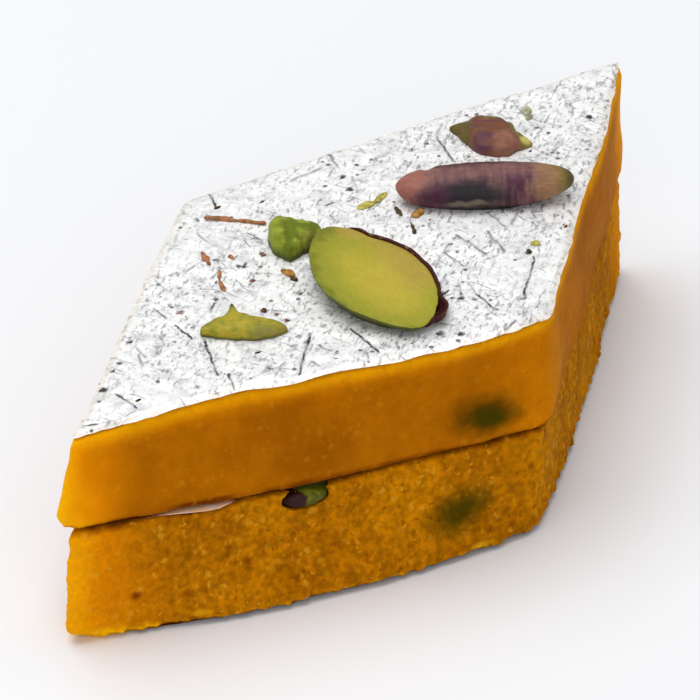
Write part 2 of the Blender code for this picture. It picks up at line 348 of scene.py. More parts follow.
distance = rim_distance(leaf, places(leaf))
inner = weigh(leaf, "away from the rim", 0.15 + 0.85 * ease(distance, 0, 1.6))
displace(leaf, "billows", "CLOUDS", 3.5, 0.14, noise_depth=1)
displace(leaf, "facets", "VORONOI", 1.9, 0.18, inner)
displace(leaf, "folds", "MARBLE", 2.4, 0.08, inner, 0.2,
         marble_type="SHARPER", turbulence=9, noise_depth=2)
displace(leaf, "crackle", "VORONOI", 2.6, -0.10, inner, weight_1=-1, weight_2=1)
displace(leaf, "crumple", "CLOUDS", 0.8, 0.06, inner, noise_depth=2)
apply_all(leaf)
print("lowest to highest place of the sheet in mm:", round(float(np.ptp(places(leaf)[:, 2])), 2))

# %% [markdown]
# The rim of the sheet folds down a little over the cut edge. The four sides of the
# diamond say which way is outwards.

# %% Fold its rim over the edge
HALF_LENGTH, HALF_WIDTH = 35.9, 17.5
FOLD_WIDTH, FOLD_DOWN, FOLD_OUT = 0.55, 0.34, 0.20


def outward(rows):
    """The way out of the diamond at each row."""
    way = np.column_stack((np.sign(rows[:, 0]) / HALF_LENGTH, np.sign(rows[:, 1]) / HALF_WIDTH))
    return way / np.linalg.norm(way, axis=1)[:, None]


rows = places(leaf)
fold = (1 - ease(distance, 0, FOLD_WIDTH)) * (0.8 + 0.45 * bumpy(rows, 2.4, 8))
rows[:, 2] -= fold * FOLD_DOWN
push(rows, outward(rows), fold * FOLD_OUT)
put_places(leaf, rows)
store(leaf, "rim", 1 - ease(distance, 0, 0.7))
print("widest fold in mm:", round(float(fold.max() * FOLD_DOWN), 2))

# %% [markdown]
# The leaf also carries small marks: short creases that hold a shadow, grey pricks where a
# grain of the sweet has rubbed through, a few reddish stains, and faint strokes of painted
# shade that are scattered at random. Pricks and stains are stored as attributes that say how
# strongly each vertex is marked. A crease is thinner than a square of the mesh, so its
# vertices store how far to its left or right they lie, and the material draws the line where
# that distance passes through zero.

# %% List its creases, pricks and stains
CREASES = (                    # strength, then the points of the line
    (0.75, (-17.6, 5.9), (-18.3, 3.7)), (0.6, (-17.7, 2.9), (-19.8, 0.3), (-21.1, -1.4)),
    (0.6, (-20.5, -2), (-21.6, -3.6)), (0.7, (-11.8, -3.4), (-14.2, -4.8), (-16.9, -6.5)),
    (0.55, (-28.1, 3.4), (-28.6, 0.9)), (0.35, (-22.7, 5.6), (-23.8, 4.2)),
    (0.45, (-16.8, 8.6), (-17.3, 7.2)), (0.6, (-3.6, 9.8), (-3.8, 8.3)),
    (0.6, (-0.7, 16.5), (-2.5, 14.2)), (0.6, (-9.2, -5.5), (-10.7, -9.7)),
    (0.35, (1.5, -9.3), (0.7, -10.8)), (0.7, (0.7, -10.8), (-0.2, -13.5)),
    (0.65, (7.8, -11), (6.6, -11.9), (3.8, -13.3), (2.6, -14.2)),
    (0.42, (6.4, -4.1), (5.7, -7.7)), (0.45, (17.1, 6.6), (15, 3.1)),
    (0.5, (9.9, 12.4), (8.7, 10.4)), (0.6, (3.4, 7.3), (4.2, 7.2)),
    (0.45, (-12.7, -5.1), (-12.9, -6.5)), (0.4, (-14.8, -5.9), (-15.1, -7)),
    (0.4, (-1.8, -15.8), (-0.4, -15.7)), (0.5, (-32.7, 2.6), (-32.1, 2)),
    (0.35, (-20.9, 5.2), (-21.8, 4.4)), (0.5, (-13.2, 5.5), (-14.4, 4.9)),
    (0.3, (8.2, 8.4), (6.5, 6.4)), (0.2, (-16.9, 0.3), (-14, -1.6)),
    (0.25, (-21.4, -3.4), (-16.1, -4.7)), (0.25, (11.3, 8.5), (13.1, 8.2)),
    (0.35, (4.6, 12.1), (7.6, 11.2)), (0.4, (8.4, -5.8), (6.9, -8.8)),
    (0.4, (3.8, -4.9), (3.3, -7.2)), (0.35, (10.6, -4), (9.9, -6.3)),
    (0.35, (13, -3.4), (11.4, -5)),
)
PRICKS = (                     # x, y, radius, strength
    (-5.7, 14.9, 0.3, 0.55), (-6.8, 14.6, 0.25, 0.5), (-4.7, 14.4, 0.35, 0.6),
    (-11.8, 10.6, 0.38, 0.5), (-13.9, 10.9, 0.25, 0.65), (-16.2, 9.9, 0.3, 0.6),
    (-21.7, 7.4, 0.35, 0.8), (-22.7, 6.4, 0.28, 0.5), (-24.5, 6.1, 0.35, 0.75),
    (-25.7, 5.8, 0.3, 0.6), (-28.2, 4.7, 0.42, 0.85), (-20.9, 5.2, 0.32, 0.6),
    (-21.5, 0.3, 0.3, 0.45), (-23.3, -1.1, 0.4, 0.55), (-22.9, -2.9, 0.28, 0.45),
    (-22.5, -4.1, 0.28, 0.7), (-17.7, -4, 0.32, 0.5), (-7.7, 7, 0.38, 0.6),
    (-10.6, 5.4, 0.42, 0.5), (-7.7, 1.1, 0.4, 0.7), (-9.2, 1.4, 0.32, 0.5),
    (-9.9, 2.4, 0.3, 0.35), (-12.6, -3, 0.38, 0.6), (-12.9, -4, 0.3, 0.95),
    (-12.6, -1.8, 0.3, 0.5), (-12.7, -7, 0.34, 0.55), (-13, -8.3, 0.3, 0.5),
    (-0.7, -8.3, 0.4, 0.55), (-0.5, -10.1, 0.35, 0.75), (-5.5, -11.9, 0.5, 0.6),
    (-4.7, -13.4, 0.4, 0.8), (-3.8, -14.6, 0.35, 0.3), (-7.7, -12.2, 0.3, 0.5),
    (-1.5, -13.8, 0.35, 0.5), (-0.3, -13.4, 0.3, 0.6), (8.1, -10.3, 0.35, 0.8),
    (2.5, -14.1, 0.32, 0.6), (12.5, -6.1, 0.32, 0.6), (12.6, -10.8, 0.3, 0.45),
    (20.2, -6.2, 0.32, 0.5), (27.5, -1.4, 0.35, 0.75), (23.4, -4.5, 0.32, 0.5),
    (30.5, -1, 0.3, 0.5), (7.8, 9.1, 0.35, 0.8), (6.5, 7.3, 0.38, 0.85), (7.1, 5.7, 0.35, 0.5),
    (17.4, 7.5, 0.3, 0.5), (14.4, 7, 0.38, 0.6), (12.4, 9.6, 0.28, 0.4), (10.9, 7.4, 0.3, 0.3),
    (-8.3, 9.3, 0.35, 0.8), (-12.7, 5.8, 0.35, 0.7), (-5.8, -12.5, 0.3, 0.4),
    (16.3, -6.9, 0.25, 0.5), (1.9, 13, 0.3, 0.3), (6.7, 11.4, 0.3, 0.4),
    (-13.5, -7.2, 0.3, 0.3), (-9, -9.2, 0.25, 0.3),
)
STAINS = (
    (-0.5, 17, 0.38, 0.9), (-16, 6.8, 0.36, 0.8), (-11.3, 0.5, 0.3, 0.8),
    (-11.4, -0.6, 0.32, 0.85), (-5.4, 6.9, 0.36, 0.9), (-6.8, 5.9, 0.28, 0.6),
    (-7.7, 5.5, 0.25, 0.6), (-8.8, 5.1, 0.3, 0.85), (-32.3, 3.5, 0.3, 0.5),
    (26.1, 2.5, 0.3, 0.6), (-11.6, 1.6, 0.42, 0.9),
)
print(len(CREASES), "creases,", len(PRICKS), "pricks,", len(STAINS), "stains")

# %% Helpers that mark a sheet
def mark(piece, name, dots):
    """Store the strongest of the round dots at each vertex, unevenly faded."""
    rows = places(piece)
    total = np.zeros(len(rows))
    for x, y, radius, strength in dots:
        gap = np.hypot(rows[:, 0] - x, rows[:, 1] - y)
        total = np.maximum(total, strength * (1 - ease(gap, 0.5 * radius, 1.35 * radius)))
    total *= 0.8 + 0.4 * bumpy(rows, 0.6, 3)
    store(piece, name, total)
    return total


def draw_lines(piece, lines):
    """Store how strong the nearest line is at each vertex, and how far it lies to its side."""
    rows = places(piece)[:, :2]
    aside, strong = np.full(len(rows), 0.6), np.zeros(len(rows))
    for strength, *points in lines:
        for start, end in zip(points, points[1:]):
            start, line = np.array(start), np.array(end) - np.array(start)
            length = np.hypot(*line)
            along = (rows - start) @ line / length
            side = (rows - start) @ np.array((-line[1], line[0])) / length
            beyond = np.maximum(-along, along - length)
            level = strength * (1 - ease(np.abs(side), 0.4, 0.65)) * (1 - ease(beyond, 0, 0.3))
            nearer = level > strong
            aside[nearer], strong[nearer] = side[nearer], level[nearer]
    store(piece, "line_aside", aside)
    store(piece, "line_strength", strong)
    return strong * (1 - ease(np.abs(aside), 0.05, 0.35))


# %% Mark it
SHADE_STROKES = 56
PRESSED_IN = 0.08
SCREEN_RIGHT, AWAY = np.array((0.6145, -0.7889)), np.array((0.789, 0.6145))

random = np.random.default_rng(21)
shade_strokes = []
for number in range(SHADE_STROKES):
    middle = random.uniform((-33, -16), (33, 16))
    lean = math.radians(random.normal(66, 12) if number % 2 else random.normal(-38, 14))
    half = random.uniform(0.35, 1.1) * (math.cos(lean) * SCREEN_RIGHT + 1.8 * math.sin(lean) * AWAY)
    shade_strokes.append((random.uniform(0.14, 0.34), tuple(middle - half), tuple(middle + half)))

pressed = mark(leaf, "marks", PRICKS)
mark(leaf, "stains", STAINS)
pressed = np.maximum(pressed, draw_lines(leaf, (*shade_strokes, *CREASES)))
rows = places(leaf)
rows[:, 2] -= np.clip(pressed, 0, 1) * PRESSED_IN
put_places(leaf, rows)
print("marked vertices:", int((pressed > 0.1).sum()))

# %% [markdown]
# Pinholes are torn out for real: the faces whose middles lie within one are deleted, and
# the new edges are smoothed.

# %% Tear its pinholes
PINHOLES = 24

random = np.random.default_rng(7)
pinholes = random.uniform((-34, -17), (34, 17), (PINHOLES, 2))
pin_sizes = random.uniform(0.13, 0.22, PINHOLES)
torn = []
for face in leaf.data.polygons:
    spot = face.center.xy / MM
    gaps = np.hypot(pinholes[:, 0] - spot.x, pinholes[:, 1] - spot.y)
    torn.append(bool((gaps < pin_sizes).any()))
pick(leaf, torn, "FACE")
bpy.ops.mesh.delete(type="FACE")
bpy.ops.mesh.select_mode(type="VERT")
bpy.ops.mesh.select_non_manifold()
bpy.ops.mesh.vertices_smooth(factor=0.5, repeat=6)
bpy.ops.object.mode_set(mode="OBJECT")
thicken(leaf, LEAF_THICKNESS)
apply_all(leaf)
leaf_rows = places(leaf)       # what the nuts and crumbs rest on
print("squares torn out:", sum(torn))

# %% [markdown]
# ## The silver leaf in the seam
# Between the two pieces the second sheet shows only where it reaches the cut face, as a
# thin bright line near the outer tip and in a few places at the back. Everywhere else its
# edge stays a little inside, and the attribute smeared_and_shaded says that fudge covers it
# there, painted dark brown as the shade in the seam.

# %% Make the sheet in the seam
OUTER, FRONT = Vector((-35.1, 2)), Vector((2, -17.5))     # ends of the front face
RECESS = 0.7
SHOWN_FROM, SHOWN_FADES, SHOWN_TO = 3, 12.1, 13.6           # along the front face
LIP_OUT, LIP_DOWN, LOWERED = 0.12, 0.05, 0.1

seam_leaf = leaf_sheet("lower_silver_leaf", "leaf_seam", SEAM_LEVELS)
rows = places(seam_leaf)
front_way = (FRONT - OUTER).normalized()
along = (rows[:, :2] - np.array(OUTER)) @ np.array(front_way)
shown = ease(along, SHOWN_FROM, SHOWN_FADES) * (1 - ease(along, SHOWN_FADES, SHOWN_TO))
shown = shown * (rows[:, 1] < 1.5)
patchy = ease(bumpy(rows * (1, 1, 0), 6, 5), 0.2, 0.4)
shown = np.maximum(shown, patchy * (rows[:, 1] > 0))
rows[:, :2] *= (1 - (1 - shown) * RECESS / HALF_WIDTH)[:, None]
lip = (1 - ease(rim_distance(seam_leaf, rows), 0, 0.6)) * shown
lip = lip * (0.8 + 0.4 * bumpy(rows, 0.8, 2))
push(rows, outward(rows), lip * LIP_OUT)
rows[:, 2] -= LOWERED + lip * LIP_DOWN
put_places(seam_leaf, rows)
store(seam_leaf, "smeared_and_shaded", 1 - shown)
thicken(seam_leaf, SEAM_THICKNESS)
apply_all(seam_leaf)
print("seam leaf:", len(seam_leaf.data.polygons), "faces")

# %% [markdown]
# ## Tools for the pistachios
# A split kernel is a long rounded body that comes to a point at both ends, so it starts
# as a sphere with its poles laid along the kernel. Each nut is modelled lying at the
# origin, keeps those coordinates for its material, and is then turned and set down in
# the middle of its CAD solid's box. Chopped bits start as a round blank too, which is
# stretched out to an outline given by its corners and gets steeper walls.

# %% Helpers for the nuts
def kernel_blank(name, size, crown, fineness=80):
    """A pointed oval along X, with crown of its height above the widest line."""
    length, width, height = size
    bpy.ops.object.select_all(action="DESELECT")
    bpy.ops.mesh.primitive_uv_sphere_add(
        segments=fineness, ring_count=fineness * 5 // 8, radius=0.5 * MM,
        rotation=(0, math.pi / 2, 0), scale=(height, width, length))
    piece = bpy.context.object
    piece.name = name
    bpy.ops.object.transform_apply(location=True, rotation=True, scale=True)
    for side, share in ((1, crown), (-1, 1 - crown)):
        pick(piece, places(piece)[:, 2] * side > MERGE)
        bpy.ops.transform.resize(value=(1, 1, 2 * share), center_override=(0, 0, 0))
        bpy.ops.object.mode_set(mode="OBJECT")
    return piece


def bit_blank(name, corners, height, crown, boxiness):
    """A chopped bit with an outline, a height and walls as steep as boxiness says."""
    piece = kernel_blank(name, (2, 2, height), crown)
    rows = places(piece)
    flat = np.clip(np.hypot(rows[:, 0], rows[:, 1]), 0, 1)
    round_height = np.sqrt(np.maximum(1 - flat ** 2, 1e-9))
    boxy_height = (1 - flat ** boxiness) ** (1 / boxiness)
    rows[:, 2] *= np.where(flat < 0.9999, boxy_height / round_height, 0)
    corners = np.array(corners)
    angles = np.arctan2(corners[:, 1], corners[:, 0])
    order = np.argsort(angles)
    reach = np.interp(np.arctan2(rows[:, 1], rows[:, 0]), angles[order],
                      np.hypot(*corners.T)[order], period=2 * math.pi)
    rows[:, :2] *= reach[:, None]
    put_places(piece, rows)
    return piece


def keep_own(piece):
    """Store the coordinates that a piece was modelled in, in mm, as its attribute own."""
    own = piece.data.attributes.new("own", "FLOAT_VECTOR", "POINT")
    own.data.foreach_set("vector", places(piece).astype(np.float32).ravel())


def set_down(piece, node, turn, nudge=(0, 0), sink=0.3):
    """Turn a piece and move it to the middle of its solid, sunk a little into the leaf."""
    keep_own(piece)
    rows = places(piece) @ turn.T
    low, high = box(node)
    middle = (rows.min(0) + rows.max(0)) / 2
    shift = (low + high) / 2 - middle
    shift[:2] += nudge
    under = np.hypot(*(leaf_rows[:, :2] - (middle + shift)[:2]).T) < 2
    shift[2] = np.median(leaf_rows[under, 2]) - sink - rows[:, 2].min()
    put_places(piece, rows + shift)
    smooth(piece)
    print(piece.name, "top in mm:", round(float((rows + shift)[:, 2].max()), 2),
          "solid:", round(float(high[2]), 2))
    return shift


def turned_by(yaw, pitch=0, tilt=0):
    """A turn about Z, Y and X in degrees."""
    return np.array((Matrix.Rotation(math.radians(yaw), 3, "Z")
                     @ Matrix.Rotation(math.radians(pitch), 3, "Y")
                     @ Matrix.Rotation(math.radians(tilt), 3, "X")))


# %% [markdown]
# ## The split kernel
# The largest nut is one half of a pistachio lying with its flat inner face up. The face
# is slightly dished, with a firm rim and small nicks. Only one side keeps its skin.

# %% Make the split kernel
HALF_SIZE = (15.8, 9.4, 3.3)
HALF_TURN = turned_by(-112, 3, -4)

half = kernel_blank("nut_half", HALF_SIZE, 0.08, 112)
rows = places(half)
x, y, z = rows.T
on_face = ease(z, -0.05, 0.02)
y = y * (1 - 0.28 * (x / 7.8) ** 2)
reach = np.hypot(x / 7.8, y / (4.6 * (1 - 0.28 * (x / 7.8) ** 2)))
angle = np.arctan2(y, x)
outline = columns(np.cos(angle), np.sin(angle)) * 4
wobble = 1 + 0.022 * bumpy(outline, 1, 2) + 0.008 * bumpy(outline, 0.25, 4)
wobble = wobble * (1 - 0.15 * ease(-z, 0.05, 1.3))
neck = 1 - 0.16 * np.exp(-((x + 5.3) / 1.3) ** 2) * (y > 0)
dish = -0.42 * (1 - np.clip(reach, 0, 1) ** 2) * on_face
relief = on_face * ease(1 - reach, 0, 0.15)
z = z + dish + relief * (0.10 * bumpy(rows, 2.6, 1) + 0.03 * bumpy(rows, 0.7, 3))
put_places(half, columns(x * wobble, y * wobble * neck, z))
store(half, "face", on_face)
print("half kernel:", len(half.data.vertices), "vertices")

# %% [markdown]
# The skin is a thin papery shell. It is made from the kernel's own side faces: those in
# the right sector are duplicated and separated, moved out a little, raised unevenly
# above the rim, and given thickness.

# %% Make its skin
SKIN_FROM, SKIN_TO = 12, 164       # degrees round the kernel
SKIN_THICKNESS = 0.2


def angle_round(rows):
    """The angle of each row round the kernel, in degrees."""
    return np.degrees(np.arctan2(rows[:, 1] / 4.2, rows[:, 0] / 7.8))


rows = places(half)
angle = angle_round(rows)
pick(half, (angle > SKIN_FROM) & (angle < SKIN_TO) & (on_face < 0.9) & (rows[:, 2] > -2.2))
bpy.ops.mesh.duplicate()
bpy.ops.mesh.separate(type="SELECTED")
bpy.ops.object.mode_set(mode="OBJECT")
skin = [o for o in bpy.context.selected_objects if o != half][0]
skin.name = "nut_half_skin"
rows = places(skin)
angle = angle_round(rows)
lip = ease(rows[:, 2], -0.5, 0)
torn_lip = 0.5 + 0.5 * bumpy(columns(angle / 9, 0), 1, 6)
chunk = np.exp(-((angle - 38) / 13) ** 4)
start = ease(angle, 146, SKIN_TO)
gaps = ease(bumpy(columns(angle / 7, 0), 1, 1), 0.45, 0.6)
gaps = gaps * (1 - chunk) * (1 - start)
loose = chunk * ease(rows[:, 2], -1.7, -0.3)
rise = lip * ((0.12 + 0.24 * torn_lip) * (1 - start) - 0.25 * start - 0.5 * gaps) + 0.1 * loose
spread = 0.04 + lip * (0.08 * torn_lip - 0.06 * start - 0.1 * gaps) + 0.8 * loose
push(rows, rows / np.linalg.norm(rows[:, :2], axis=1)[:, None], spread)
rows[:, 2] += rise
put_places(skin, rows)
thicken(skin, SKIN_THICKNESS, 1)
displace(skin, "papery", "CLOUDS", 0.8, 0.07, noise_depth=2)
apply_all(skin)

shift = set_down(half, "pistachio_half", HALF_TURN, (0, 0), 1.15)
put_places(skin, places(skin) @ HALF_TURN.T + shift)
smooth(skin)

# %% [markdown]
# ## The dark kernel
# This nut lies with its skin up. The skin has shrunk as it dried, so it shows long
# furrows and fine cross wrinkles, and its outer end is broken off blunt.

# %% Make the dark kernel
DARK_SIZE = (14.7, 5, 3.5)

dark = kernel_blank("nut_dark", DARK_SIZE, 0.55, 112)
rows = places(dark)
x, y, z = rows.T
along = x / 7.35
side = np.arctan2(z, y)
blunt = 1 + 0.30 * along ** 4 * (along < 0) + 0.10 * along ** 4 * (along > 0)
furrows = bumpy(columns(x / 7, side * 2.2), 1, 1)
wrinkles = bumpy(columns(x / 0.55, side * 1.1), 1, 7)
broken = ease(-x, 4.6, 6.3)
crags = bumpy(rows, 1.1, 9)
swell = blunt * (1 + 0.055 * furrows + 0.022 * wrinkles + 0.16 * crags * broken)
waist = 1 - 0.12 * np.exp(-((x + 4.7) / 0.45) ** 2) * (z > 0)
bow = 0.25 * (1 - along ** 2)
put_places(dark, columns(x + 0.3 * crags * broken, y * swell * waist + bow,
                         z * swell * waist + 0.45 * along ** 2))
set_down(dark, "pistachio_dark", turned_by(-48, -1.5), (-0.1, -0.1), 0.45)

# %% [markdown]
# ## The small bits
# The sliver is a shaving with streaks along it and a little spike where it tore. The green
# bit is a thick crumb with a groove down its middle. The brown bit is a corner of a kernel
# with its skin up, a thin olive wing at one end and thin flesh at the other.

# %% Make the sliver
BIT_TURN = turned_by(-52)

sliver = bit_blank("nut_sliver", (
    (-3.7, -0.2), (-3, 0.55), (-2.3, 1.15), (-1.5, 1.4), (-0.5, 1.5), (0.5, 0.8), (1.6, 0.6),
    (2.6, 0.45), (3.3, 0), (3.4, -0.4), (2.6, -0.95), (1.6, -1.3), (0.4, -1.55), (-0.3, -1.4),
    (-1.6, -1.35), (-3, -1), (-3.7, -0.95)), 1.5, 0.65, 2.4)
rows = places(sliver)
x, y, z = rows.T
top = ease(z, -0.1, 0.2)
spike = np.exp(-((x + 1.15) / 0.33) ** 2) * ease(y, 0.5, 1.5)
streaks = bumpy(columns(x * 0.35, y * 2.2), 1, 2)
z = z * (1.05 - 0.1 * np.abs(x) / 3.5) + top * 0.10 * streaks + 0.05 * bumpy(rows, 0.8, 5)
put_places(sliver, columns(x - 0.1 * spike, y + 1.15 * spike, z + 0.35 * spike))
set_down(sliver, "pistachio_sliver", BIT_TURN, (-0.2, 0.25))

# %% Make the green bit
green_bit = bit_blank("nut_green_bit", (
    (-1.6, 2.65), (-0.9, 2.85), (0.2, 2.4), (1.2, 2.2), (2.2, 1.8), (2.35, 0.6), (1.8, -0.5),
    (0.9, -1.2), (0.4, -1.9), (-0.2, -2.4), (-0.6, -2.1), (-1.1, -1.7), (-1.8, -0.4), (-2, 0.9)),
    2, 0.75, 3.5)
rows = places(green_bit)
x, y, z = rows.T
top = ease(z, 0.1, 0.8)
groove = np.exp(-((x + 0.35 + 0.15 * y) / 0.3) ** 2)
lumps = 0.12 * bumpy(rows, 1.5, 4) + 0.05 * bumpy(rows, 0.5, 1)
z = z * (1 - 0.07 * x) - top * (0.16 * groove - lumps)
ragged = 1 + 0.05 * bumpy(rows, 1.2, 8) + 0.02 * bumpy(rows, 0.4, 2)
put_places(green_bit, columns(x * ragged, y * ragged, z))
set_down(green_bit, "pistachio_green_chip", BIT_TURN, (0.35, 0.15))

# %% Make the brown bit
brown_bit = bit_blank("nut_brown_bit", (
    (-3.55, 1.75), (-2.9, 2.25), (-1.4, 2.65), (0.2, 2.6), (1.7, 2.3), (2.2, 0.9), (3, 0),
    (3.5, -0.8), (3.1, -1.3), (2.1, -1.6), (1.5, -2.45), (0.2, -2.5), (-1, -2),
    (-1.8, -0.7), (-2.6, 0.6)), 1.8, 0.75, 3)
rows = places(brown_bit)
x, y, z = rows.T
thin = 1 - 0.5 * ease(-x, 1.3, 2) - 0.4 * ease(x + 0.4 * y, 1.5, 2.2)
folds = bumpy(columns(x * 0.5, y * 1.6), 1, 3)
z = z * thin * (1 + 0.10 * folds) + ease(z, 0.2, 0.8) * 0.08 * bumpy(rows, 0.5, 6)
ragged = 1 + 0.05 * bumpy(rows, 0.8, 2)
put_places(brown_bit, columns(x * ragged, y * ragged, z))
set_down(brown_bit, "pistachio_brown_chip", BIT_TURN)

# %% [markdown]
# ## The nut in the seam
# The knife went through this one, so it shows as a cut green patch in the front face. Its
# solid already has that cut, and only needs a finer, rougher skin.

# %% Make the nut in the seam
seam_nut = copy_node("pistachio_in_seam", "nut_seam")
remesh(seam_nut, 0.11)
displace(seam_nut, "torn flesh", "CLOUDS", 0.9, 0.18, noise_depth=2)
apply_all(seam_nut)
smooth(seam_nut)
keep_own(seam_nut)
print("seam nut:", len(seam_nut.data.vertices), "vertices")

# %% [markdown]
# ## Materials
# Every material of the sweet is built from nodes on Object coordinates, or on a nut's own
# coordinates, both in mm, so that a pattern has its true size. Two small classes keep the
# node code short. A Value stands for a node's output, and sums, products and steps of it
# add further nodes. Nodes stands for one material: its paint method lays a colour over
# what is there already, as strongly as a share says.

# %% Helpers for materials
def linear(red, green, blue):
    """A colour picked from a screen, 0 to 255, as the linear values that shaders use."""
    shares = [c / 255 for c in (red, green, blue)]
    return tuple(c / 12.92 if c <= 0.04045 else ((c + 0.055) / 1.055) ** 2.4
                 for c in shares) + (1,)


class Value:
    """A node's output, with short ways to reckon with it."""

    def __init__(self, nodes, socket):
        self.nodes, self.socket = nodes, socket

    def maths(self, operation, other=0):
        """What a Math node makes of this value and another."""
        return self.nodes.add("Math", {0: self, 1: other}, operation=operation)

    def __add__(self, other):
        return self.maths("ADD", other)

    def __sub__(self, other):
        return self.maths("SUBTRACT", other)

    def __mul__(self, other):
        return self.maths("MULTIPLY", other)

    def __abs__(self):
        return self.maths("ABSOLUTE")

    def most(self, other):
        """The larger of two values."""
        return self.maths("MAXIMUM", other)

    def rise(self, low, high, start=0, end=1):
        """A smooth step from start to end as the value goes from low to high."""
        return self.nodes.add("MapRange", {"Value": self, "From Min": low, "From Max": high,
                                           "To Min": start, "To Max": end},
                              interpolation_type="SMOOTHSTEP")

    def fall(self, low, high, start=1):
        """A smooth step down from start to 0."""
        return self.rise(low, high, start, 0)


class Nodes:
    """One material, its coordinates in mm, and short ways to add nodes to it."""

    def __init__(self, name, own=False, **sockets):
        self.material = bpy.data.materials.new(name)
        self.material.use_nodes = True
        self.tree = self.material.node_tree
        self.shader = self.tree.nodes["Principled BSDF"]
        for key, value in sockets.items():
            self.shader.inputs[key.replace("_", " ")].default_value = value
        if own:
            self.where = self.add("Attribute", {}, "Vector", attribute_name="own")
        else:
            self.where = self.add("VectorMath", {0: self.add("TexCoord", {}, "Object"),
                                                 "Scale": 1 / MM}, operation="SCALE")
        self.x, self.y, self.z = (self.add("SeparateXYZ", {"Vector": self.where}, letter)
                                  for letter in "XYZ")

    def add(self, kind, inputs, output=0, **settings):
        """Add a node with its settings and inputs, and give back one of its outputs."""
        node = self.tree.nodes.new("ShaderNode" + kind)
        for key, value in settings.items():
            setattr(node, key, value)
        for key, value in inputs.items():
            if isinstance(value, Value):
                self.tree.links.new(value.socket, node.inputs[key])
            else:
                node.inputs[key].default_value = value
        return Value(self, node.outputs[output])

    def stored(self, name):
        """The value of an attribute."""
        return self.add("Attribute", {}, "Fac", attribute_name=name)

    def noise(self, size, detail=2, where=None, output="Fac"):
        """Smooth noise, 0 to 1, in patches of about the given size."""
        return self.add("TexNoise", {"Vector": where or self.where, "Scale": 1 / size,
                                     "Detail": detail}, output)

    def cells(self, size, where=None):
        """How far a place lies from the middle of its cell, and a random share per cell."""
        distance = self.add("TexVoronoi", {"Vector": where or self.where, "Scale": 1 / size})
        colour = Value(self, distance.socket.node.outputs["Color"])
        return distance, self.add("SeparateXYZ", {"Vector": colour})

    def mapped(self, place=(0, 0, 0), turn=(0, 0, 0), scale=(1, 1, 1), where=None, kind="POINT"):
        """The coordinates scaled, turned and moved. The kind TEXTURE undoes such a move."""
        return self.add("Mapping", {"Vector": where or self.where, "Location": place,
                                    "Rotation": turn, "Scale": scale}, vector_type=kind)

    def bent(self, size, detail, reach):
        """The coordinates, each moved by noise as far as reach says."""
        wander = self.noise(size, detail, output="Color")
        return self.add("VectorMath", {0: wander, 1: reach, 2: self.where},
                        operation="MULTIPLY_ADD")

    def length(self, where, start=(0, 0, 0)):
        """How far a place lies from start."""
        return self.add("VectorMath", {0: where, 1: start}, "Value", operation="DISTANCE")

    def blend(self, share, first, second, how="MIX"):
        """The first colour where the share is 0, going over to the second where it is 1."""
        return self.add("Mix", {0: share, 6: first, 7: second}, 2, data_type="RGBA",
                        blend_type=how, clamp_factor=True)

    def paint(self, share, ink, how="MIX"):
        """Lay a colour over what is there already."""
        self.colour = self.blend(share, self.colour, ink, how)

    def bump(self, height, depth, strength=1, under=None):
        """A fine relief of a depth in mm, on its own or on top of another."""
        inputs = {"Height": height, "Distance": depth * MM, "Strength": strength}
        if under is not None:
            inputs["Normal"] = under
        return self.add("Bump", inputs)

    def link(self, value, socket):
        """Lead a value into one of the shader's sockets."""
        self.tree.links.new(value.socket, self.shader.inputs[socket])


# %% [markdown]
# ### Barfi
# The fudge is a deep amber that lets light in a little way. Subsurface scattering gives some
# of that; the rest is painted light, a paler and yellower colour towards the thin tips. A
# painted highlight runs along the top edge, painted bounce light along the foot, and painted
# shade along the seam, under the foot and towards +X. Pale milk grains and dark pits dot it,
# more of them in the lower piece. Soft spots just under the front face give it what lies
# there: two buried kernels that show as dark green blurs, three larger pits and two bright
# crumbs with painted glints.

# %% Helpers for the barfi
UPPER_TONES = linear(162, 90, 1), linear(184, 107, 2)
LOWER_TONES = linear(172, 104, 2), linear(196, 124, 3)
AMBER = linear(236, 142, 2)
PALE = linear(255, 184, 8)
GRAIN = linear(226, 160, 34)
PIT = linear(128, 58, 2)
SEAM_SHADE = linear(104, 42, 2)
FOOT_SHADE = linear(80, 27, 2)
FRONT_TURN = math.atan2(front_way.y, front_way.x)


def soft_spot(nodes, place, size, tilt):
    """1 in the middle of a spot under the front face, falling away softly round it."""
    turn = (0, math.radians(tilt), FRONT_TURN)
    reach = nodes.length(nodes.mapped(place, turn, size, kind="TEXTURE"))
    return (reach + nodes.noise(1.3) * 0.6).fall(0.55, 1.6)


def grains(nodes, where, size, share, seed):
    """Rounded grains: the middles of a share of the cells of a Voronoi pattern."""
    distance, kind = nodes.cells(size, nodes.mapped((seed, seed, 0), where=where))
    return distance.fall(0.12, 0.46) * kind.rise(1 - share, 1 - 0.4 * share)


